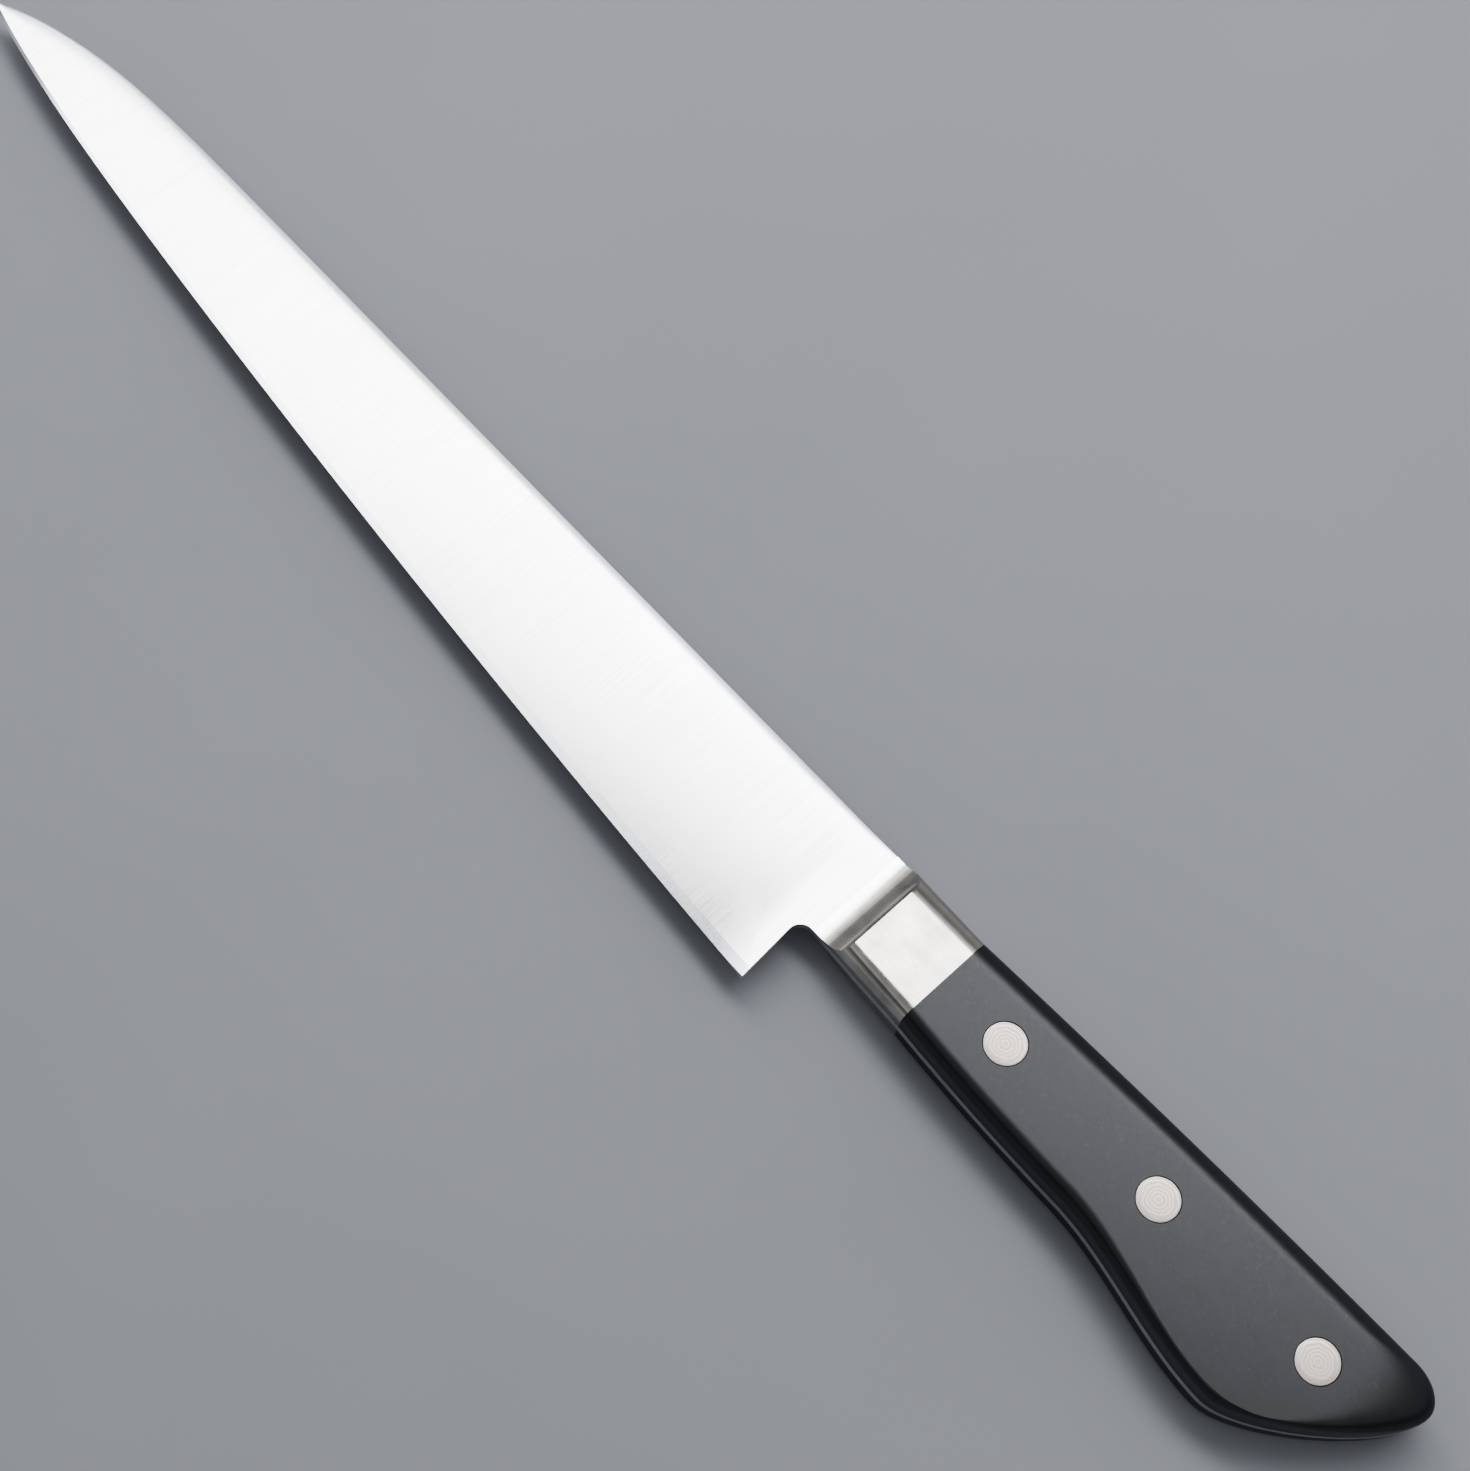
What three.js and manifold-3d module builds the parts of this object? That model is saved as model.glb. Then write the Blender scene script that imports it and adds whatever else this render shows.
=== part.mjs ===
// Sujihiki: a long, slender slicing knife with a riveted, bolstered handle.
// It lies on its right side with the left face up. X runs from the tip to the butt, Y from the edge to the
// spine and Z up. While it is built, X = 0 is the heel, Y = 0 the spine line and Z = 0 the middle plane.

import * as THREE from 'three';
import { mergeVertices } from 'three/addons/utils/BufferGeometryUtils.js';
import Module from 'manifold-3d';

const wasm = await Module();
wasm.setup();

// Driving dimensions, in millimetres

// Blade, from the heel to the tip
const bladeLength = 240;
const bladeHeight = 34.1;
const tipDrop = 9.2;
const spineFallLength = 75;
const spineThickness = 2;
const tipThickness = 0.8;
const bevelHeightHeel = 2;
const bevelHeightTip = 0.8;
const bevelThickness = 0.5;
const heelLean = 0.8;
const choilRadius = 2.6;

// Neck and bolster, behind the heel
const neckHeight = 19.8;
const bolsterStart = 2.6;
const scoopLength = 6.9;
const scoopLip = 0.15;
const bolsterLength = 14.6;
const bolsterFrontThickness = 11.6;

// Handle, from the heel to the butt
const handleLength = 126;
const handleThickness = 13;
const jointTopDrop = 0.9;
const jointHeight = 19.8;
const buttTopRise = 1.8;
const backCrown = 0.6;
const noseLength = 6.6;
const noseDrop = 3;
const slantTangent = 7.5;
const hookSetback = 26.5;
const hookDepth = 27.4;
const waistSetback = 64;
const waistDepth = 22.2;
const bellySwell = 0.5;

// Rounding of the handle's edges: its width on the flat side, and its depth. noseSlide is how far below the
// nose the flat side's rearmost point lies.
const topRound = 4.4;
const bellyRound = 2.8;
const hookRound = 1.4;
const buttRound = 12.5;
const noseSlide = 10.5;
const roundDepth = 3.2;

// Rivets
const rivetHeadDiameter = 7.6;
const rivetHeadThickness = 1.6;
const rivetSleeveDiameter = 4.8;
const rivetPostDiameter = 3;
const rivetBehindJoint = 14.5;
const rivetAheadOfButt = 18.1;
const rivetLineRise = 0.5;
const rivetClearance = 0.1;
const rivetEndGap = 0.3;

// Shape of the curves, without a unit
const edgeBellyShare = 0.37;
const edgeTipShare = 0.12;
const edgeTipPower = 13;
const spineFallPower = 4;
const roundPower = 2.5;
const roundTangent = 0.55;
const tenonShare = 0.5;
const thirdTangent = 1 / 3;

// Facets
const bladeStations = 28;
const curveSteps = 9;
const roundSteps = 4;
const arcSteps = 8;
const rivetFacets = 24;

// Places worked out from the driving dimensions
const tangHalf = spineThickness / 2;
const handleHalf = handleThickness / 2;
const scoopEnd = bolsterStart + scoopLength;
const joint = scoopEnd + bolsterLength;
const jointTop = -jointTopDrop;
const jointBottom = jointTop - jointHeight;
const cutMargin = 2;

const { lerp, clamp } = THREE.MathUtils;
const point = (x, y) => new THREE.Vector2(x, y);

// Solids

// A closed skin over rings of equal point count, which run anticlockwise about the direction of travel.
// flat gives a ring point's place in the ring's own plane, for the two end caps.
function loft(rings, flat) {
  const count = rings[0].length;
  const faces = [];
  for (let ring = 0; ring + 1 < rings.length; ring++) {
    for (let i = 0; i < count; i++) {
      const near = ring * count + i;
      const next = ring * count + (i + 1) % count;
      faces.push(near, next, next + count);
      faces.push(near, next + count, near + count);
    }
  }
  const last = (rings.length - 1) * count;
  for (const [a, b, c] of THREE.ShapeUtils.triangulateShape(rings[0].map(flat), [])) {
    faces.push(a, c, b);
  }
  for (const [a, b, c] of THREE.ShapeUtils.triangulateShape(rings.at(-1).map(flat), [])) {
    faces.push(last + a, last + b, last + c);
  }
  const geometry = new THREE.BufferGeometry().setFromPoints(rings.flat());
  geometry.setIndex(faces);
  return geometry;
}

const acrossX = (p) => point(p.y, p.z);
const acrossZ = (p) => point(p.x, p.y);

function solidFrom(geometry) {
  const bare = geometry.clone();
  bare.deleteAttribute('normal');
  bare.deleteAttribute('uv');
  const welded = mergeVertices(bare);
  return new wasm.Manifold(new wasm.Mesh({
    numProp: 3,
    vertProperties: welded.attributes.position.array,
    triVerts: new Uint32Array(welded.index.array),
  }));
}

function geometryFrom(solid) {
  const mesh = solid.getMesh();
  const geometry = new THREE.BufferGeometry();
  geometry.setAttribute('position', new THREE.BufferAttribute(mesh.vertProperties, 3));
  geometry.setIndex(new THREE.BufferAttribute(mesh.triVerts, 1));
  return geometry;
}

// The same piece for the other side of the knife
function mirrored(geometry) {
  const other = geometry.clone();
  other.scale(1, 1, -1);
  const index = other.index;
  for (let i = 0; i < index.count; i += 3) {
    const second = index.getX(i + 1);
    index.setX(i + 1, index.getX(i + 2));
    index.setX(i + 2, second);
  }
  return other;
}

// A body turned about the Z axis, from profile points of radius and height that run upwards
function turned(profile, x, y) {
  const geometry = new THREE.LatheGeometry(profile, rivetFacets);
  geometry.rotateX(Math.PI / 2);
  geometry.translate(x, y, 0);
  return geometry;
}

// Blade

function spineLine(x) {
  const fall = clamp((spineFallLength - bladeLength - x) / spineFallLength, 0, 1);
  return -tipDrop * fall ** spineFallPower;
}

function edgeLine(x) {
  const along = clamp(-x / bladeLength, 0, 1);
  const straight = (1 - edgeBellyShare - edgeTipShare) * along;
  const curved = edgeBellyShare * along ** 2 + edgeTipShare * along ** edgeTipPower;
  return lerp(-bladeHeight, -tipDrop, straight + curved);
}

// The ground wedge of the blade, which thickens to the full plate between the heel and the bolster
function bladeSection(x) {
  const along = clamp(-x / bladeLength, 0, 1);
  const plunge = clamp(x / bolsterStart, 0, 1);
  const spine = spineLine(x);
  const edge = edgeLine(x);
  const bevel = edge + Math.min(lerp(bevelHeightHeel, bevelHeightTip, along), (spine - edge) / 2);
  const spineHalf = lerp(spineThickness, tipThickness, along) / 2;
  const bevelHalf = lerp(Math.min(bevelThickness / 2, spineHalf), tangHalf, plunge);
  return [
    new THREE.Vector3(x, spine, -spineHalf),
    new THREE.Vector3(x, spine, spineHalf),
    new THREE.Vector3(x, bevel, bevelHalf),
    new THREE.Vector3(x, edge, 0),
    new THREE.Vector3(x, bevel, -bevelHalf),
  ];
}

// Stations crowd towards the tip, and stop just short of it. A thinner tenon runs on into the tang.
function groundBlade() {
  const rings = [];
  for (let i = 1; i <= bladeStations; i++) {
    const fromTip = (i / bladeStations) ** 2;
    rings.push(bladeSection(-bladeLength * (1 - fromTip)));
  }
  rings.push(bladeSection(bolsterStart));
  rings.push(bladeSection(bolsterStart).map((p) => p.multiplyScalar(tenonShare).setX(scoopEnd)));
  return solidFrom(loft(rings, acrossX));
}

// The space behind the heel and under the neck, with the choil's fillet
function heelNotch() {
  const shape = new THREE.Shape();
  const below = -bladeHeight - cutMargin;
  shape.moveTo(heelLean / 2, below);
  shape.lineTo(scoopEnd + cutMargin, below);
  shape.lineTo(scoopEnd + cutMargin, -neckHeight);
  shape.lineTo(choilRadius - heelLean / 2, -neckHeight);
  shape.absarc(choilRadius - heelLean / 2, -neckHeight - choilRadius, choilRadius, Math.PI / 2, Math.PI, false);
  return slab(shape, spineThickness + cutMargin);
}

// A flat plate of the given thickness, centred on the middle plane
function slab(shape, thickness) {
  const settings = { depth: thickness, bevelEnabled: false, curveSegments: rivetFacets / 2 };
  const geometry = new THREE.ExtrudeGeometry(shape, settings);
  geometry.translate(0, 0, -thickness / 2);
  return solidFrom(geometry);
}

function tang() {
  const shape = new THREE.Shape(handleOutline(0).reverse());
  shape.lineTo(bolsterStart, 0);
  shape.lineTo(bolsterStart, -neckHeight);
  for (const { x, y } of rivetPlaces) {
    const hole = new THREE.Path();
    hole.absarc(x, y, rivetSleeveDiameter / 2 + rivetClearance, 0, 2 * Math.PI, true);
    shape.holes.push(hole);
  }
  return slab(shape, spineThickness);
}

function blade() {
  return geometryFrom(groundBlade().subtract(heelNotch()).add(tang()));
}

// Bolster

// Steps of the rounded edge, from the silhouette to the flat side: how far in, and how far up, as shares.
// The round is a little fuller than an ellipse.
const roundProfile = Array.from({ length: roundSteps + 1 }, (_, i) => {
  const angle = (i / roundSteps) * (Math.PI / 2);
  return { inset: 1 - Math.cos(angle) ** (2 / roundPower), rise: Math.sin(angle) ** (2 / roundPower) };
});

function bolsterSection(x, top, bottom, half) {
  const place = (y, z) => new THREE.Vector3(x, y, z);
  const start = half - roundDepth;
  const height = (rise) => start + rise * roundDepth;
  const up = roundProfile.map(({ inset, rise }) => place(top - inset * topRound, height(rise)));
  const down = roundProfile.map(({ inset, rise }) => place(bottom + inset * bellyRound, height(rise)));
  return [place(bottom, tangHalf), place(top, tangHalf), ...up, ...down.reverse()];
}

// The concave front that sweeps up from the blade's face to the bolster's crisp front edge
function scoop(frontHalf) {
  const low = tangHalf + scoopLip;
  const rise = frontHalf - low;
  const turn = 2 * Math.atan(rise / scoopLength);
  const radius = scoopLength / Math.sin(turn);
  const shape = new THREE.Shape();
  shape.moveTo(bolsterStart - cutMargin, low);
  for (let i = 0; i <= arcSteps; i++) {
    const angle = (turn * i) / arcSteps;
    shape.lineTo(bolsterStart + radius * Math.sin(angle), low + radius * (1 - Math.cos(angle)));
  }
  shape.lineTo(scoopEnd, frontHalf + cutMargin);
  shape.lineTo(bolsterStart - cutMargin, frontHalf + cutMargin);
  const geometry = new THREE.ExtrudeGeometry(shape, { depth: bladeHeight + cutMargin, bevelEnabled: false });
  geometry.rotateX(Math.PI / 2);
  geometry.translate(0, cutMargin, 0);
  return solidFrom(geometry);
}

function bolster() {
  const frontHalf = bolsterFrontThickness / 2;
  const slope = (handleHalf - frontHalf) / bolsterLength;
  const rings = [
    bolsterSection(bolsterStart, 0, -neckHeight, frontHalf - slope * scoopLength),
    bolsterSection(joint, jointTop, jointBottom, handleHalf),
  ];
  return geometryFrom(solidFrom(loft(rings, acrossX)).subtract(scoop(frontHalf)));
}

// Handle scales

// Outline of the handle behind the bolster, from the joint's top round the butt to the joint's bottom.
// inset runs from 0 on the silhouette to 1 on the border of the flat side.
function handleOutline(inset) {
  const top = point(joint, jointTop - inset * topRound);
  const shoulder = point(handleLength - noseLength - inset * buttRound, buttTopRise - inset * topRound);
  const nose = point(handleLength - inset * buttRound, -noseDrop - inset * noseSlide);
  const hook = point(handleLength - hookSetback - inset * hookRound, -hookDepth + inset * hookRound);
  const waist = point(handleLength - waistSetback, -waistDepth + inset * bellyRound);
  const bottom = point(joint, jointBottom + inset * bellyRound);
  const backRun = (shoulder.x - top.x) * thirdTangent;
  const hookRun = (hook.x - waist.x) * thirdTangent;
  const waistRun = (waist.x - joint) * thirdTangent;
  const waistSlope = (bottom.y - waist.y) / (waist.x - joint);
  const backLow = jointTop + backCrown - inset * topRound;
  const backHigh = buttTopRise + backCrown - inset * topRound;
  const path = new THREE.Path();
  path.moveTo(top.x, top.y);
  path.bezierCurveTo(top.x + backRun, lerp(backLow, backHigh, thirdTangent),
    shoulder.x - backRun, lerp(backHigh, backLow, thirdTangent), shoulder.x, shoulder.y);
  path.bezierCurveTo(lerp(shoulder.x, nose.x, roundTangent), shoulder.y,
    nose.x, lerp(nose.y, shoulder.y, roundTangent), nose.x, nose.y);
  path.bezierCurveTo(nose.x, nose.y - slantTangent, hook.x + slantTangent, hook.y, hook.x, hook.y);
  path.bezierCurveTo(hook.x - hookRun, hook.y,
    waist.x + hookRun, waist.y - hookRun * waistSlope + bellySwell, waist.x, waist.y);
  path.bezierCurveTo(waist.x - waistRun, waist.y + waistRun * waistSlope - bellySwell,
    bottom.x + waistRun, bottom.y - waistRun * waistSlope - bellySwell, bottom.x, bottom.y);
  return path.getPoints(curveSteps);
}

function scaleRing(inset, z) {
  return handleOutline(inset).reverse().map(({ x, y }) => new THREE.Vector3(x, y, z));
}

function rivetBore({ x, y }) {
  const shank = rivetSleeveDiameter / 2 + rivetClearance;
  const head = rivetHeadDiameter / 2 + rivetClearance;
  const seat = handleHalf - rivetHeadThickness;
  const profile = [
    point(0, 0),
    point(shank, 0),
    point(shank, seat),
    point(head, seat),
    point(head, handleHalf + cutMargin),
    point(0, handleHalf + cutMargin),
  ];
  return solidFrom(turned(profile, x, y));
}

function scale() {
  const start = handleHalf - roundDepth;
  const rounded = roundProfile.map(({ inset, rise }) => scaleRing(inset, start + rise * roundDepth));
  let solid = solidFrom(loft([scaleRing(0, tangHalf), ...rounded], acrossZ));
  for (const place of rivetPlaces) {
    solid = solid.subtract(rivetBore(place));
  }
  return geometryFrom(solid);
}

// Rivets

const rivetFrontX = joint + rivetBehindJoint;
const rivetRearX = handleLength - rivetAheadOfButt;
const rivetMiddleY = jointTop - jointHeight / 2;
const rivetPlaces = ['front', 'middle', 'rear'].map((name, i, all) => {
  const along = i / (all.length - 1);
  const rise = lerp(-rivetLineRise, rivetLineRise, along) / 2;
  return { name, x: lerp(rivetFrontX, rivetRearX, along), y: rivetMiddleY + rise };
});

// The solid half, with its head on the left side
function rivetPost({ x, y }) {
  const head = rivetHeadDiameter / 2;
  const post = rivetPostDiameter / 2;
  const seat = handleHalf - rivetHeadThickness;
  const profile = [
    point(0, -seat + rivetEndGap),
    point(post, -seat + rivetEndGap),
    point(post, seat),
    point(head, seat),
    point(head, handleHalf),
    point(0, handleHalf),
  ];
  return turned(profile, x, y);
}

// The hollow half, which takes the post, with its head on the right side
function rivetSleeve({ x, y }) {
  const head = rivetHeadDiameter / 2;
  const outside = rivetSleeveDiameter / 2;
  const inside = rivetPostDiameter / 2 + rivetClearance;
  const seat = handleHalf - rivetHeadThickness;
  const profile = [
    point(0, -handleHalf),
    point(head, -handleHalf),
    point(head, -seat),
    point(outside, -seat),
    point(outside, seat - rivetEndGap),
    point(inside, seat - rivetEndGap),
    point(inside, -seat),
    point(0, -seat),
  ];
  return turned(profile, x, y);
}

// Assembly

const knife = new THREE.Group();

function place(name, geometry, color, roughness, metalness) {
  const mesh = new THREE.Mesh(geometry, new THREE.MeshStandardMaterial({ color, roughness, metalness }));
  mesh.name = name;
  knife.add(mesh);
}

const satinSteel = [0xd6d7d9, 0.28, 1];
const polishedSteel = [0xe4e0db, 0.16, 1];
const rivetSteel = [0xdcd6ce, 0.3, 1];
const blackScale = [0x2a2b2d, 0.45, 0];

const leftBolster = bolster();
const leftScale = scale();
place('blade', blade(), ...satinSteel);
place('bolster_left', leftBolster, ...polishedSteel);
place('bolster_right', mirrored(leftBolster), ...polishedSteel);
place('scale_left', leftScale, ...blackScale);
place('scale_right', mirrored(leftScale), ...blackScale);
for (const rivet of rivetPlaces) {
  place(`rivet_${rivet.name}_post`, rivetPost(rivet), ...rivetSteel);
  place(`rivet_${rivet.name}_sleeve`, rivetSleeve(rivet), ...rivetSteel);
}

// The origin is the middle of the knife's box, on the surface that it lies on.
const box = new THREE.Box3().setFromObject(knife);
const middle = box.getCenter(new THREE.Vector3());
knife.position.set(-middle.x, -middle.y, -box.min.z);

export default knife;
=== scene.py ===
import math

import bmesh
import bpy
from mathutils import Matrix, Vector


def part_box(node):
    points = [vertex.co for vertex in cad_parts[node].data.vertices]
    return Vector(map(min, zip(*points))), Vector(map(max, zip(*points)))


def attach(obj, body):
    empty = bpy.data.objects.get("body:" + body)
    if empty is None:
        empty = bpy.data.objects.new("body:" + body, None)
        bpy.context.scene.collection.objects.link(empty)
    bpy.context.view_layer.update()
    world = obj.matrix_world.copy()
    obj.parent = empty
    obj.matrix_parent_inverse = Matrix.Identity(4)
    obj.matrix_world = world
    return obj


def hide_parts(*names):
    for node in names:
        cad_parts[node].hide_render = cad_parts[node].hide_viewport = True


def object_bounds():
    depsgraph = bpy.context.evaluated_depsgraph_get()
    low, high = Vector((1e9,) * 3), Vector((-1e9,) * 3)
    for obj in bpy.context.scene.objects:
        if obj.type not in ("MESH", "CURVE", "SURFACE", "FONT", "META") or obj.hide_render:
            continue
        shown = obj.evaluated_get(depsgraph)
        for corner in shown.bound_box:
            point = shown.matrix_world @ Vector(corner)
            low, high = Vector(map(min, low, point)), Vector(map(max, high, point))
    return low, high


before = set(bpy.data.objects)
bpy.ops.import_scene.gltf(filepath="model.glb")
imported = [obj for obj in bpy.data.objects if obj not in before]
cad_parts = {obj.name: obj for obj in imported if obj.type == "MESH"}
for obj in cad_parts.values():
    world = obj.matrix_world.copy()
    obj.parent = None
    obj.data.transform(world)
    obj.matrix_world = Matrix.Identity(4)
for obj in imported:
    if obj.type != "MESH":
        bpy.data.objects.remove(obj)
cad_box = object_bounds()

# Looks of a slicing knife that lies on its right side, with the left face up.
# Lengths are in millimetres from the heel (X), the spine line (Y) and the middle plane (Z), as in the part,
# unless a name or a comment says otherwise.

MM = 0.001
ROOT = "root"

# Blade
BLADE_LENGTH = 240
BLADE_HEIGHT = 34.1
TIP_DROP = 9.2
SPINE_FALL = 75
SPINE_THICKNESS = 2
TIP_THICKNESS = 0.8
SPINE_ROLL_HEEL = 5.5
SPINE_ROLL_TIP = 9
ROLL_DEPTH_HEEL = 0.19
ROLL_DEPTH_TIP = 0.3
SPINE_EASE = 0.1
FACE_BULGE = 0.03
BEVEL_HEIGHT_HEEL = 2
BEVEL_HEIGHT_TIP = 0.5
EDGE_THICKNESS = 0.06
HEEL_LEAN = 0.8
CHOIL_RADIUS = 2.6
PLUNGE_START = -6

# Neck and bolster
NECK_HEIGHT = 19.8
BOLSTER_START = 2.6
SCOOP_LENGTH = 6.9
SCOOP_LIP = 0.08
BOLSTER_FRONT_THICKNESS = 11.6
FLAT_MARGIN = 0.3
TANG_EASE = 0.05

# Handle
HANDLE_LENGTH = 126
JOINT_TOP = -0.9
JOINT_BOTTOM = -20.7
BUTT_TOP_RISE = 1.8
BACK_CROWN = 0.6
NOSE_LENGTH = 6.6
NOSE_DROP = 3
SLANT_TANGENT = 7.5
HOOK_SETBACK = 26.5
HOOK_DEPTH = 27.4
WAIST_SETBACK = 64
WAIST_DEPTH = 22.2
BELLY_SWELL = 0.5
TOP_ROUND = 4.4
BELLY_ROUND = 2.8
HOOK_ROUND = 1.4
BUTT_ROUND = 12.5
NOSE_SLIDE = 10.5
ROUND_DEPTH = 3.2
HAIRLINE = 0.05

# Rivets
RIVET_HEAD_THICKNESS = 1.6
RIVET_POST_DIAMETER = 3
RIVET_SLEEVE_DIAMETER = 4.8
RIVET_CLEARANCE = 0.1
RIVET_SEAT_GAP = 0.06
RIVET_END_GAP = 0.3
RIVET_DOME = 0.04
RIVET_RIM = 0.15

# Shape of the curves and slopes, without a unit or in degrees
EDGE_BELLY_SHARE = 0.37
EDGE_TIP_SHARE = 0.12
EDGE_TIP_POWER = 13
SPINE_FALL_POWER = 4
BEVEL_SLOPE = 0.03
BEVEL_SLOPE_HEEL = 0.065
BEVEL_SLOPE_TIP = 0.7
BEVEL_HEEL_POWER = 8
BEVEL_TIP_POWER = 18
ROUND_POWER = 2.5
ROUND_POWER_FRONT = 1.8
ROUND_TANGENT = 0.55
THIRD = 1 / 3
CORNER_DEGREES = 30

# Layout of the meshes, without a unit: how far the columns' lean reaches as a multiple of it, the most of a
# column that an eased corner takes, the rings on a rivet's dome, and the ring inside a scale's flat border
COLUMN_LEAN_RUN = 3
EASE_LIMIT = 0.25
DOME_SHARES = (0.1, 0.4, 0.7)
BORDER_INSET = 1.05

# Fineness of the meshes
BLADE_STATIONS = 140
FACE_ROWS = 16
BEVEL_ROWS = 3
CORNER_STEPS = 4
HEEL_STEPS = 12
NECK_STEPS = 8
BOLSTER_STEPS = 20
OUTLINE_STEPS = 24
ROUND_STEPS = 20
RIVET_FACETS = 72
SEARCH_STEPS = 4
BEVEL_ROW = CORNER_STEPS + FACE_ROWS
EDGE_ROW = BEVEL_ROW + BEVEL_ROWS

# Order of the blade's materials
FACE_SLOT, BEVEL_SLOT, BACK_SLOT = range(3)

# Places that the frame gives
LOW, HIGH = cad_box
ORIGIN = Vector((HIGH.x - HANDLE_LENGTH * MM, LOW.y + BLADE_HEIGHT * MM, (LOW.z + HIGH.z) / 2))
TIP = (LOW.x - ORIGIN.x) / MM
HANDLE_HALF = (HIGH.z - ORIGIN.z) / MM
JOINT = (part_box("bolster_left")[1].x - ORIGIN.x) / MM
TANG_HALF = SPINE_THICKNESS / 2
SCOOP_END = BOLSTER_START + SCOOP_LENGTH
RIVET_SEAT = HANDLE_HALF - RIVET_HEAD_THICKNESS


# Helpers

def mix(a, b, share):
    return a + (b - a) * share


def clamp(value):
    return min(max(value, 0.0), 1.0)


def smooth(share):
    share = clamp(share)
    return share * share * (3 - 2 * share)


def shares(steps):
    """Even steps from 0 to 1, both included."""
    return [i / steps for i in range(steps + 1)]


def bezier(start, first, second, end, steps):
    """Points along a cubic curve, without its last one."""
    points = []
    for t in shares(steps)[:-1]:
        s = 1 - t
        weights = (s ** 3, 3 * s * s * t, 3 * s * t * t, t ** 3)
        corners = (start, first, second, end)
        points.append(tuple(sum(w * p[axis] for w, p in zip(weights, corners)) for axis in (0, 1)))
    return points


def add_object(name, mesh):
    piece = bpy.data.objects.new(name, mesh)
    bpy.context.scene.collection.objects.link(piece)
    return piece


def skin(name, rings):
    """A closed mesh over rings of equal point count, capped at both ends."""
    count = len(rings[0])
    last = (len(rings) - 1) * count
    vertices = [ORIGIN + Vector(p) * MM for ring in rings for p in ring]
    faces = [
        (start + i, start + (i + 1) % count, start + count + (i + 1) % count, start + count + i)
        for start in range(0, last, count)
        for i in range(count)
    ]
    faces.append(tuple(reversed(range(count))))
    faces.append(tuple(range(last, last + count)))
    mesh = bpy.data.meshes.new(name)
    mesh.from_pydata(vertices, [], faces)
    work = bmesh.new()
    work.from_mesh(mesh)
    bmesh.ops.recalc_face_normals(work, faces=work.faces)
    work.to_mesh(mesh)
    work.free()
    mesh.shade_smooth()
    return add_object(name, mesh)


def keep_corners(piece):
    """Leaves a piece's corners hard."""
    piece.data.set_sharp_from_angle(angle=math.radians(CORNER_DEGREES))


def mirrored(piece, name):
    """The same piece for the other side of the knife."""
    mesh = piece.data.copy()
    flip = Matrix.Translation(ORIGIN) @ Matrix.Diagonal((1, 1, -1, 1)) @ Matrix.Translation(-ORIGIN)
    mesh.transform(flip)
    mesh.flip_normals()
    return add_object(name, mesh)


def dress(piece, materials, node):
    """Gives a piece its materials, hides the CAD node that it stands for, and hangs the piece under the root
    body.
    """
    for material in materials:
        piece.data.materials.append(material)
    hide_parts(node)
    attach(piece, ROOT)


# Shape of the blade

def spine_line(x):
    fall = clamp((SPINE_FALL - BLADE_LENGTH - x) / SPINE_FALL)
    return -TIP_DROP * fall ** SPINE_FALL_POWER


def edge_line(x):
    along = clamp(-x / BLADE_LENGTH)
    straight = (1 - EDGE_BELLY_SHARE - EDGE_TIP_SHARE) * along
    curved = EDGE_BELLY_SHARE * along ** 2 + EDGE_TIP_SHARE * along ** EDGE_TIP_POWER
    return mix(-BLADE_HEIGHT, -TIP_DROP, straight + curved)


def bevel_line(x):
    along = clamp(-x / BLADE_LENGTH)
    edge = edge_line(x)
    return edge + min(mix(BEVEL_HEIGHT_HEEL, BEVEL_HEIGHT_TIP, along), (spine_line(x) - edge) / 2)


def half_thickness(x, y):
    """Half the blade's thickness: a wedge with rounded faces, which fills out to the plate at the neck."""
    along = clamp(-x / BLADE_LENGTH)
    spine = spine_line(x)
    edge = edge_line(x)
    bevel = bevel_line(x)
    slope = mix(BEVEL_SLOPE, BEVEL_SLOPE_HEEL, (1 - along) ** BEVEL_HEEL_POWER)
    slope = mix(slope, BEVEL_SLOPE_TIP, along ** BEVEL_TIP_POWER)
    spine_half = mix(SPINE_THICKNESS, TIP_THICKNESS, along) / 2
    bevel_half = min(EDGE_THICKNESS / 2 + slope * (bevel - edge), spine_half)
    if y < bevel:
        half = mix(EDGE_THICKNESS / 2, bevel_half, clamp((y - edge) / (bevel - edge)))
    else:
        share = clamp((y - bevel) / (spine - bevel))
        roll = clamp(1 - (spine - y) / mix(SPINE_ROLL_HEEL, SPINE_ROLL_TIP, along)) * share
        hollow = mix(ROLL_DEPTH_HEEL, ROLL_DEPTH_TIP, along) * roll ** 2
        bulge = 4 * FACE_BULGE * share * (1 - share) * (1 - along)
        half = mix(bevel_half, spine_half, share) + bulge - hollow
    return mix(half, TANG_HALF, smooth((x - PLUNGE_START) / (BOLSTER_START - PLUNGE_START)))


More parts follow.
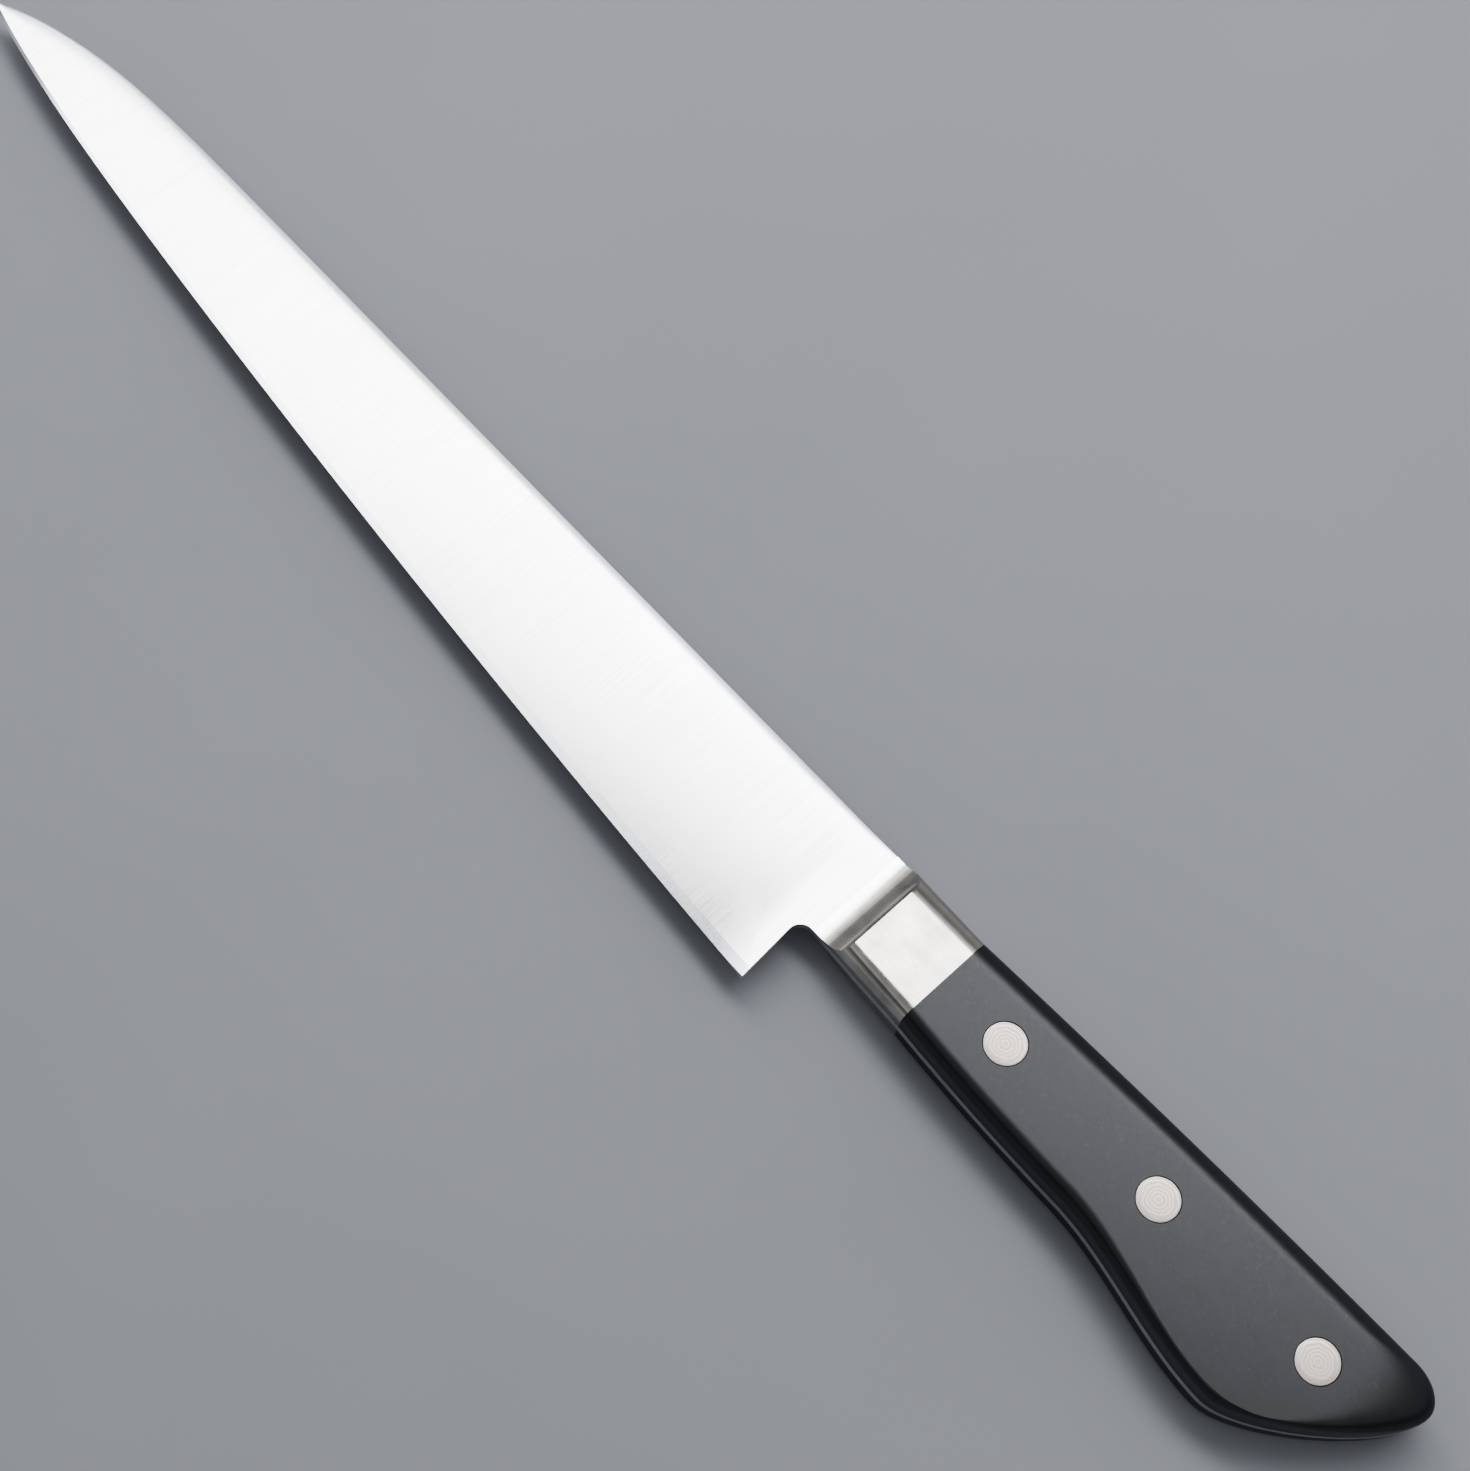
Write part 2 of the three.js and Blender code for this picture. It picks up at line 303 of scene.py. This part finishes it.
def blade_columns():
    """Pairs of points on the upper and lower outline, from the tip round the heel and the neck to the butt.
    Near the heel the columns lean towards the tip, so that they can turn round the choil."""
    heel_front = HEEL_LEAN / 2
    heel_top = -NECK_HEIGHT - CHOIL_RADIUS
    choil_centre = CHOIL_RADIUS - heel_front
    lean = NECK_HEIGHT
    lean_run = COLUMN_LEAN_RUN * lean
    columns = []
    for share in shares(BLADE_STATIONS):
        x = mix(TIP + HAIRLINE, heel_front, share ** 2)
        top = x - lean * smooth((x + lean_run) / (heel_front + lean_run))
        columns.append(((top, spine_line(top)), (x, edge_line(x))))
    heel_above = heel_front - lean
    choil_above = (heel_above + choil_centre) / 2
    for share in shares(HEEL_STEPS)[1:]:
        foot = (mix(heel_front, -heel_front, share), mix(-BLADE_HEIGHT, heel_top, share))
        columns.append(((mix(heel_above, choil_above, share), 0), foot))
    for share in shares(HEEL_STEPS)[1:]:
        angle = math.pi - share * math.pi / 2
        foot = (choil_centre + CHOIL_RADIUS * math.cos(angle), heel_top + CHOIL_RADIUS * math.sin(angle))
        columns.append(((mix(choil_above, choil_centre, share), 0), foot))
    for share in shares(NECK_STEPS)[1:]:
        x = mix(choil_centre, BOLSTER_START, share)
        columns.append(((x, 0), (x, -NECK_HEIGHT)))
    for share in shares(NECK_STEPS)[1:-1]:
        x = mix(BOLSTER_START, JOINT, share)
        columns.append(((x, share * JOINT_TOP), (x, mix(-NECK_HEIGHT, JOINT_BOTTOM, share))))
    outline = handle_outline(0, JOINT)
    nose = len(outline) // 2
    columns.extend(zip(outline[:nose], reversed(outline[nose + 1:])))
    return columns


def bevel_share(top, foot):
    """How far down a column the bevel starts."""
    share = 1.0
    for _ in range(SEARCH_STEPS):
        point = top.lerp(foot, share)
        share -= (bevel_line(point.x) - point.y) / (top.y - foot.y)
    length = (foot - top).length
    return min(share, 1 - min(HAIRLINE / length, THIRD))


def blade_ring(top, foot):
    """A ring round the blade through a pair of outline points, down the left side and up the right."""
    top = Vector(top)
    foot = Vector(foot)
    length = (foot - top).length
    ease = mix(SPINE_EASE, TANG_EASE, smooth(top.x / BOLSTER_START))
    ease = min(ease, length * EASE_LIMIT)
    bevel = bevel_share(top, foot)
    side = []
    for share in shares(CORNER_STEPS):
        angle = share * math.pi / 2
        point = top.lerp(foot, ease * (1 - math.cos(angle)) / length)
        side.append((*point, half_thickness(*point) - ease * (1 - math.sin(angle))))
    for share in shares(FACE_ROWS)[1:]:
        point = top.lerp(foot, mix(ease / length, bevel, share))
        side.append((*point, half_thickness(*point)))
    for share in shares(BEVEL_ROWS)[1:]:
        point = top.lerp(foot, mix(bevel, 1, share))
        side.append((*point, half_thickness(*point)))
    return side + [(x, y, -z) for x, y, z in reversed(side)]


def blade_slot(row):
    """Material of a row of faces, counted from the spine: the back's material is the edge's as well."""
    if row < CORNER_STEPS or row >= EDGE_ROW:
        return BACK_SLOT
    return BEVEL_SLOT if row >= BEVEL_ROW else FACE_SLOT


def make_blade():
    """The blade with its tang."""
    rings = [blade_ring(top, foot) for top, foot in blade_columns()]
    piece = skin("blade_ground", rings)
    count = len(rings[0])
    for polygon in piece.data.polygons:
        place = polygon.index % count
        polygon.material_index = blade_slot(min(place, count - 2 - place))
    for line in piece.data.edges:
        a, b = (v % count for v in line.vertices)
        line.use_edge_sharp = a == b and min(a, count - 1 - a) in (BEVEL_ROW, EDGE_ROW)
    for cap in list(piece.data.polygons)[-2:]:
        cap.use_smooth = False
        cap.material_index = BACK_SLOT
    return piece


# Rounded edges of the handle

def round_inset(rise, power):
    """How far a round has come in from the silhouette where it has risen by a share of its depth.
    A power of 2 is an ellipse, and a higher one is fuller."""
    return 1 - (1 - rise ** power) ** (1 / power)


# Shape of the bolster

def flat_height(x):
    """Height of the bolster's flat side, which rises to the joint."""
    return mix(BOLSTER_FRONT_THICKNESS / 2, HANDLE_HALF, (x - SCOOP_END) / (JOINT - SCOOP_END))


def rounded_side(edge, width, flat, top, power):
    """Points of a bolster's rounded side from the tang up to the height top.
    width is signed, and flat is the height of the flat side."""
    points = []
    for share in shares(ROUND_STEPS):
        z = mix(TANG_HALF + HAIRLINE, top, math.sin(share * math.pi / 2))
        rise = clamp(1 - (flat - z) / ROUND_DEPTH)
        points.append((edge + width * round_inset(rise, power), z))
    return points


def bolster_ring(x, top):
    """A ring round the bolster, cut off at the height top. The round is crisper in front."""
    share = (x - BOLSTER_START) / (JOINT - BOLSTER_START)
    flat = flat_height(x)
    power = mix(ROUND_POWER_FRONT, ROUND_POWER, share)
    lower = rounded_side(mix(-NECK_HEIGHT, JOINT_BOTTOM, share), BELLY_ROUND, flat, top, power)
    upper = rounded_side(share * JOINT_TOP, -TOP_ROUND, flat, top, power)
    inner = [(lower[-1][0] + FLAT_MARGIN, top), (upper[-1][0] - FLAT_MARGIN, top)]
    return [(x, y, z) for y, z in lower + inner + upper[::-1]]


def make_bolster():
    """The scoop is an arc that leaves the blade's face level and ends in a crisp front edge."""
    low = TANG_HALF + SCOOP_LIP
    turn = 2 * math.atan((flat_height(SCOOP_END) - low) / SCOOP_LENGTH)
    radius = SCOOP_LENGTH / math.sin(turn)
    rings = []
    for share in shares(BOLSTER_STEPS):
        angle = share * turn
        x = BOLSTER_START + radius * math.sin(angle)
        rings.append(bolster_ring(x, low + radius * (1 - math.cos(angle))))
    for share in shares(BOLSTER_STEPS)[1:]:
        x = mix(SCOOP_END, JOINT, share)
        rings.append(bolster_ring(x, flat_height(x)))
    piece = skin("bolster_left_polished", rings)
    keep_corners(piece)
    return piece


# Shape of the handle scales

def handle_outline(inset, start):
    """Outline of the handle from the joint's top round the butt to the joint's bottom.
    inset runs from 0 on the silhouette to 1 on the border of the flat side."""
    top = (start, JOINT_TOP - inset * TOP_ROUND)
    shoulder = (HANDLE_LENGTH - NOSE_LENGTH - inset * BUTT_ROUND, BUTT_TOP_RISE - inset * TOP_ROUND)
    nose = (HANDLE_LENGTH - inset * BUTT_ROUND, -NOSE_DROP - inset * NOSE_SLIDE)
    hook = (HANDLE_LENGTH - HOOK_SETBACK - inset * HOOK_ROUND, -HOOK_DEPTH + inset * HOOK_ROUND)
    waist = (HANDLE_LENGTH - WAIST_SETBACK, -WAIST_DEPTH + inset * BELLY_ROUND)
    bottom = (start, JOINT_BOTTOM + inset * BELLY_ROUND)
    back_run = (shoulder[0] - start) * THIRD
    hook_run = (hook[0] - waist[0]) * THIRD
    waist_run = (waist[0] - start) * THIRD
    waist_slope = (bottom[1] - waist[1]) / (waist[0] - start)
    back_low = JOINT_TOP + BACK_CROWN - inset * TOP_ROUND
    back_high = BUTT_TOP_RISE + BACK_CROWN - inset * TOP_ROUND
    back = bezier(top, (start + back_run, mix(back_low, back_high, THIRD)),
                  (shoulder[0] - back_run, mix(back_high, back_low, THIRD)), shoulder, 2 * OUTLINE_STEPS)
    round_nose = bezier(shoulder, (mix(shoulder[0], nose[0], ROUND_TANGENT), shoulder[1]),
                        (nose[0], mix(nose[1], shoulder[1], ROUND_TANGENT)), nose, OUTLINE_STEPS)
    slant = bezier(nose, (nose[0], nose[1] - SLANT_TANGENT),
                   (hook[0] + SLANT_TANGENT, hook[1]), hook, OUTLINE_STEPS)
    before_waist = (waist[0] + hook_run, waist[1] - hook_run * waist_slope + BELLY_SWELL)
    past_waist = (waist[0] - waist_run, waist[1] + waist_run * waist_slope - BELLY_SWELL)
    before_bottom = (start + waist_run, bottom[1] - waist_run * waist_slope - BELLY_SWELL)
    hollow = bezier(hook, (hook[0] - hook_run, hook[1]), before_waist, waist, OUTLINE_STEPS)
    belly = bezier(waist, past_waist, before_bottom, bottom, OUTLINE_STEPS)
    return back + round_nose + slant + hollow + belly + [bottom]


def scale_ring(inset, z):
    return [(x, y, z) for x, y in handle_outline(inset, JOINT + HAIRLINE)]


def circle(place, radius, z):
    turns = [2 * math.pi * i / RIVET_FACETS for i in range(RIVET_FACETS)]
    return [(place[0] + radius * math.cos(a), place[1] + radius * math.sin(a), z) for a in turns]


def make_scale(rivets):
    rings = [scale_ring(0, TANG_HALF + HAIRLINE)]
    for share in shares(ROUND_STEPS):
        rise = math.sin(share * math.pi / 2) ** (2 / ROUND_POWER)
        rings.append(scale_ring(round_inset(rise, ROUND_POWER), HANDLE_HALF - ROUND_DEPTH * (1 - rise)))
    rings.append(scale_ring(BORDER_INSET, HANDLE_HALF))
    piece = skin("scale_left_satin", rings)
    for place, radius in rivets:
        bore(piece, place, radius + RIVET_SEAT_GAP)
    keep_corners(piece)
    return piece


def bore(piece, place, radius):
    """Cuts a round seat for a rivet head into a scale."""
    cutter = skin("cutter", [circle(place, radius, RIVET_SEAT), circle(place, radius, HANDLE_HALF + radius)])
    cut = piece.modifiers.new("bore", "BOOLEAN")
    cut.operation = "DIFFERENCE"
    cut.solver = "EXACT"
    cut.object = cutter
    shown = piece.evaluated_get(bpy.context.evaluated_depsgraph_get())
    piece.data = bpy.data.meshes.new_from_object(shown)
    piece.modifiers.clear()
    bpy.data.objects.remove(cutter)


# Shape of the rivets

def rivet_place(name):
    """Centre and head radius of a rivet, from the frame."""
    low, high = (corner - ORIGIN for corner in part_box(name))
    middle = (low + high) / 2 / MM
    return (middle.x, middle.y), (high.x - low.x) / 2 / MM


def head_profile(radius):
    """Radius and height of a rivet head from its middle to the seat: a slight dome and a rounded rim."""
    profile = [(radius * share, HANDLE_HALF - RIVET_DOME * share ** 2) for share in DOME_SHARES]
    for share in shares(CORNER_STEPS):
        angle = share * math.pi / 2
        top = HANDLE_HALF - RIVET_DOME
        profile.append((radius - RIVET_RIM * (1 - math.sin(angle)), top - RIVET_RIM * (1 - math.cos(angle))))
    profile.append((radius, RIVET_SEAT))
    return profile


def make_rivet(name, place, profile):
    """A turned piece with its own middle as origin."""
    piece = skin(name, [circle(place, radius, z) for radius, z in profile])
    keep_corners(piece)
    middle = ORIGIN + Vector((*place, 0)) * MM
    piece.data.transform(Matrix.Translation(-middle))
    piece.location = middle
    return piece


def post_profile(radius):
    post = RIVET_POST_DIAMETER / 2
    return head_profile(radius) + [(post, RIVET_SEAT), (post, RIVET_END_GAP - RIVET_SEAT)]


def sleeve_profile(radius):
    outside = RIVET_SLEEVE_DIAMETER / 2
    inside = RIVET_POST_DIAMETER / 2 + RIVET_CLEARANCE
    end = RIVET_SEAT - RIVET_END_GAP
    head = [(r, -z) for r, z in head_profile(radius)]
    return head + [(outside, -RIVET_SEAT), (outside, end), (inside, end), (inside, -RIVET_SEAT)]


# Materials

BLADE_LIGHT = (0.82, 0.825, 0.835)
FADE_SHARE = 0.6
NOISE_DETAIL = 3
NOISE_LOW = 0.3
NOISE_HIGH = 0.7


def new_material(name):
    material = bpy.data.materials.new(name)
    material.use_nodes = True
    return material, material.node_tree, material.node_tree.nodes["Principled BSDF"]


def add_node(tree, kind, inputs, **settings):
    """A node whose inputs are set to values, or linked where a socket is given."""
    made = tree.nodes.new(kind)
    for key, value in settings.items():
        setattr(made, key, value)
    for key, value in inputs.items():
        if isinstance(value, bpy.types.NodeSocket):
            tree.links.new(value, made.inputs[key])
        else:
            made.inputs[key].default_value = value
    return made


def place_on(tree):
    """Place on a piece, from its own origin."""
    return add_node(tree, "ShaderNodeTexCoord", {}).outputs["Object"]


def grain(tree, per_metre):
    """Noise with its own fineness along X, Y and Z."""
    stretched = add_node(tree, "ShaderNodeMapping", {"Vector": place_on(tree), "Scale": per_metre})
    noise = add_node(tree, "ShaderNodeTexNoise",
                     {"Vector": stretched.outputs["Vector"], "Scale": 1.0, "Detail": NOISE_DETAIL})
    return noise.outputs["Fac"]


def between(tree, value, low, high):
    """Spreads a noise value over a range."""
    ends = {"From Min": NOISE_LOW, "From Max": NOISE_HIGH, "To Min": low, "To Max": high}
    spread = add_node(tree, "ShaderNodeMapRange", {"Value": value, **ends})
    return spread.outputs["Result"]


def span(tree, value, start, end):
    """Rises softly from 0 to 1 while a value runs from start to end."""
    rise = add_node(tree, "ShaderNodeMapRange", {"Value": value, "From Min": start, "From Max": end},
                    interpolation_type="SMOOTHSTEP")
    return rise.outputs["Result"]


def ramp(tree, value, stops):
    """A colour that follows a value through stops of position and colour."""
    node = add_node(tree, "ShaderNodeValToRGB", {"Fac": value})
    elements = node.color_ramp.elements
    while len(elements) < len(stops):
        elements.new(1.0)
    for element, (position, colour) in zip(elements, stops):
        element.position = position
        element.color = (*colour, 1)
    return node.outputs["Color"]


def tint(tree, value, dark, light):
    """Spreads a noise value over two colours."""
    return ramp(tree, value, ((NOISE_LOW, dark), (NOISE_HIGH, light)))


def relief(tree, value, depth):
    """Bump of the given depth in metres."""
    return add_node(tree, "ShaderNodeBump", {"Height": value, "Distance": depth}).outputs["Normal"]


def link(tree, shader, **sockets):
    for name, socket in sockets.items():
        tree.links.new(socket, shader.inputs[name.replace("_", " ")])


def steel(name, dark, light, roughness, lines_per_metre, patches_per_metre, line_depth):
    """Steel with grind lines in the given direction over larger soft patches."""
    material, tree, shader = new_material(name)
    shader.inputs["Metallic"].default_value = 1
    lines = grain(tree, lines_per_metre)
    patches = grain(tree, patches_per_metre)
    link(tree, shader,
         Base_Color=tint(tree, patches, dark, light),
         Roughness=between(tree, lines, *roughness),
         Normal=relief(tree, lines, line_depth))
    return material


def fade_into_blade(material):
    """Gives a bolster's steel the blade's colour where the scoop runs out on the blade."""
    tree = material.node_tree
    shader = tree.nodes["Principled BSDF"]
    own = shader.inputs["Base Color"].links[0].from_socket
    along = add_node(tree, "ShaderNodeSeparateXYZ", {"Vector": place_on(tree)}).outputs["X"]
    start = ORIGIN.x + BOLSTER_START * MM
    share = span(tree, along, start, start + FADE_SHARE * SCOOP_LENGTH * MM)
    blend = add_node(tree, "ShaderNodeMixRGB", {"Fac": share, "Color1": (*BLADE_LIGHT, 1), "Color2": own})
    link(tree, shader, Base_Color=blend.outputs["Color"])


def turned_steel(name, dark, light, roughness, rings_per_metre, unevenness, ring_depth):
    """Steel with faint concentric turning marks."""
    material, tree, shader = new_material(name)
    shader.inputs["Metallic"].default_value = 1
    wave = add_node(tree, "ShaderNodeTexWave",
                    {"Vector": place_on(tree), "Scale": rings_per_metre, "Distortion": unevenness},
                    wave_type="RINGS", rings_direction="Z")
    wave.inputs["Detail"].default_value = NOISE_DETAIL
    rings = wave.outputs["Fac"]
    link(tree, shader,
         Base_Color=tint(tree, rings, dark, light),
         Roughness=between(tree, rings, *roughness),
         Normal=relief(tree, rings, ring_depth))
    return material


def composite(name, dark, light, roughness, ior, shine, sanding_per_metre, patches_per_metre, sanding_depth):
    """Satin resin and fibre with a fine sanded grain."""
    material, tree, shader = new_material(name)
    shader.inputs["IOR"].default_value = ior
    shader.inputs["Specular Tint"].default_value = (*shine, 1)
    sanding = grain(tree, sanding_per_metre)
    patches = grain(tree, patches_per_metre)
    link(tree, shader,
         Base_Color=tint(tree, patches, dark, light),
         Roughness=between(tree, sanding, *roughness),
         Normal=relief(tree, sanding, sanding_depth))
    return material


def floor_paper_with_painted_light(name, near, far, change, roughness, patches_per_metre):
    """Pale paper whose colour is painted lighter further out, where less light falls on it: painted light
    that makes up for the weaker lamp light there.
    """
    material, tree, shader = new_material(name)
    shader.inputs["Roughness"].default_value = roughness
    distance = add_node(tree, "ShaderNodeVectorMath", {0: place_on(tree)}, operation="LENGTH")
    patches = grain(tree, patches_per_metre)
    share = span(tree, distance.outputs["Value"], *change)
    colours = {"Color1": tint(tree, patches, *near), "Color2": tint(tree, patches, *far)}
    blend = add_node(tree, "ShaderNodeMixRGB", {"Fac": share, **colours})
    link(tree, shader, Base_Color=blend.outputs["Color"])
    return material


face_steel = steel("blade_satin_steel", dark=(0.76, 0.765, 0.78), light=BLADE_LIGHT,
                   roughness=(0.16, 0.24), lines_per_metre=(4500, 40, 40),
                   patches_per_metre=(40, 60, 60), line_depth=3e-7)
bevel_steel = steel("blade_bevel_steel", dark=(0.72, 0.72, 0.75), light=(0.80, 0.80, 0.82),
                    roughness=(0.2, 0.3), lines_per_metre=(6000, 900, 900),
                    patches_per_metre=(120, 300, 300), line_depth=8e-7)
back_steel = steel("blade_back_steel", dark=(0.66, 0.66, 0.67), light=(0.74, 0.74, 0.75),
                   roughness=(0.26, 0.36), lines_per_metre=(200, 7000, 7000),
                   patches_per_metre=(60, 200, 200), line_depth=8e-7)
bolster_steel = steel("bolster_polished_steel", dark=(0.36, 0.34, 0.315), light=(0.57, 0.55, 0.52),
                      roughness=(0.12, 0.2), lines_per_metre=(300, 2500, 2500),
                      patches_per_metre=(150, 150, 150), line_depth=2e-7)
fade_into_blade(bolster_steel)
rivet_steel = turned_steel("rivet_turned_steel", dark=(0.53, 0.48, 0.44), light=(0.60, 0.55, 0.505),
                           roughness=(0.34, 0.46), rings_per_metre=500, unevenness=6, ring_depth=3e-6)
black = composite("scale_black_composite", dark=(0.006, 0.007, 0.009), light=(0.012, 0.013, 0.016),
                  roughness=(0.27, 0.35), ior=1.69, shine=(0.95, 0.97, 1),
                  sanding_per_metre=(900, 9000, 9000), patches_per_metre=(150, 400, 400), sanding_depth=4e-6)
# The floor's far colour is painted lighter than its near one: painted light where less lamp light reaches.
paper = floor_paper_with_painted_light("pale_floor", near=((0.39, 0.40, 0.425), (0.41, 0.42, 0.445)),
                    far=((0.79, 0.81, 0.845), (0.82, 0.84, 0.875)), change=(0.2, 1.6), roughness=0.9,
                    patches_per_metre=(9, 9, 9))

# Pieces

dress(make_blade(), (face_steel, bevel_steel, back_steel), "blade")

left_bolster = make_bolster()
right_bolster = mirrored(left_bolster, "bolster_right_polished")
dress(left_bolster, (bolster_steel,), "bolster_left")
dress(right_bolster, (bolster_steel,), "bolster_right")

rivet_names = ("front", "middle", "rear")
left_scale = make_scale([rivet_place(f"rivet_{name}_post") for name in rivet_names])
right_scale = mirrored(left_scale, "scale_right_satin")
dress(left_scale, (black,), "scale_left")
dress(right_scale, (black,), "scale_right")

for name in rivet_names:
    for half, profile in (("post", post_profile), ("sleeve", sleeve_profile)):
        node = f"rivet_{name}_{half}"
        place, radius = rivet_place(node)
        dress(make_rivet(f"{node}_turned", place, profile(radius)), (rivet_steel,), node)

# Floor and light, in metres, watts and degrees

FLOOR_HALF = 20
SOFT_BOX_TURN = 9.5

# Name, size, place and brightness of each soft box
SOFT_BOXES = (
    ("soft_box", (1.09, 0.23), (-0.235, 0.252, 0.72), 3.97),
    ("inner_wing", (0.45, 0.2), (-0.925, 0.37, 0.73), 1.2),
    ("outer_wing", (0.65, 0.4), (-1.45, 0.5, 0.73), 0.65),
)

# Colour of the room's light by how far a direction leans towards its bright side
ROOM_BRIGHT_SIDE = (-0.35, 0.45, 0.82)
ROOM_LIGHT = (
    (0.0, (0.27, 0.275, 0.285)),
    (0.2, (0.18, 0.19, 0.205)),
    (0.36, (0.12, 0.13, 0.145)),
    (0.56, (0.52, 0.53, 0.54)),
    (0.94, (0.30, 0.30, 0.31)),
    (1.0, (0.96, 1.0, 1.05)),
)
HORIZON_LIGHT = (0.40, 0.405, 0.415)
HORIZON_SPAN = (0.08, 0.36)

# Camera, in the part's millimetres and degrees

CAMERA_PLACE = (71.5, -132.1, 401.8)
CAMERA_AIM = (-32.4, -5.4, 0)
CAMERA_ROLL = 8.57
CAMERA_LENS = 61.2
CAMERA_SENSOR = 36
CAMERA_NEAR = 10


def make_floor():
    half = FLOOR_HALF
    mesh = bpy.data.meshes.new("floor")
    corners = [(-half, -half, 0), (half, -half, 0), (half, half, 0), (-half, half, 0)]
    mesh.from_pydata(corners, [], [range(len(corners))])
    mesh.materials.append(paper)
    add_object("floor", mesh)


def make_soft_box(name, size, place, brightness):
    """A soft light overhead, where the blade, the handle or the scoop mirrors it to the camera."""
    lamp = bpy.data.lights.new(name, "AREA")
    lamp.shape = "RECTANGLE"
    lamp.size, lamp.size_y = size
    lamp.energy = brightness * math.pi * lamp.size * lamp.size_y
    holder = add_object(name, lamp)
    holder.location = place
    holder.rotation_euler.z = math.radians(SOFT_BOX_TURN)


def make_room():
    """Soft light from all round: even at the horizon, and above it brighter behind the spine."""
    world = bpy.data.worlds.new("room")
    world.use_nodes = True
    tree = world.node_tree
    direction = add_node(tree, "ShaderNodeTexCoord", {}).outputs["Generated"]
    towards = add_node(tree, "ShaderNodeVectorMath", {0: direction, 1: ROOM_BRIGHT_SIDE},
                       operation="DOT_PRODUCT")
    height = add_node(tree, "ShaderNodeSeparateXYZ", {"Vector": direction}).outputs["Z"]
    share = span(tree, height, *HORIZON_SPAN)
    above = ramp(tree, towards.outputs["Value"], ROOM_LIGHT)
    blend = add_node(tree, "ShaderNodeMixRGB", {"Fac": share, "Color1": (*HORIZON_LIGHT, 1), "Color2": above})
    tree.links.new(blend.outputs["Color"], tree.nodes["Background"].inputs["Color"])
    bpy.context.scene.world = world


def make_camera():
    place = ORIGIN + Vector(CAMERA_PLACE) * MM
    aim = ORIGIN + Vector(CAMERA_AIM) * MM
    lens = bpy.data.cameras.new("camera")
    lens.sensor_width = CAMERA_SENSOR
    lens.lens = CAMERA_LENS
    lens.clip_start = CAMERA_NEAR * MM
    camera = add_object("camera", lens)
    turn = (aim - place).to_track_quat("-Z", "Y").to_matrix().to_4x4()
    roll = Matrix.Rotation(math.radians(CAMERA_ROLL), 4, "Z")
    camera.matrix_world = Matrix.Translation(place) @ turn @ roll
    bpy.context.scene.camera = camera


make_floor()
make_room()
for soft_box in SOFT_BOXES:
    make_soft_box(*soft_box)
make_camera()
bpy.context.scene.view_settings.view_transform = "AgX"
bpy.context.scene.view_settings.look = "AgX - High Contrast"
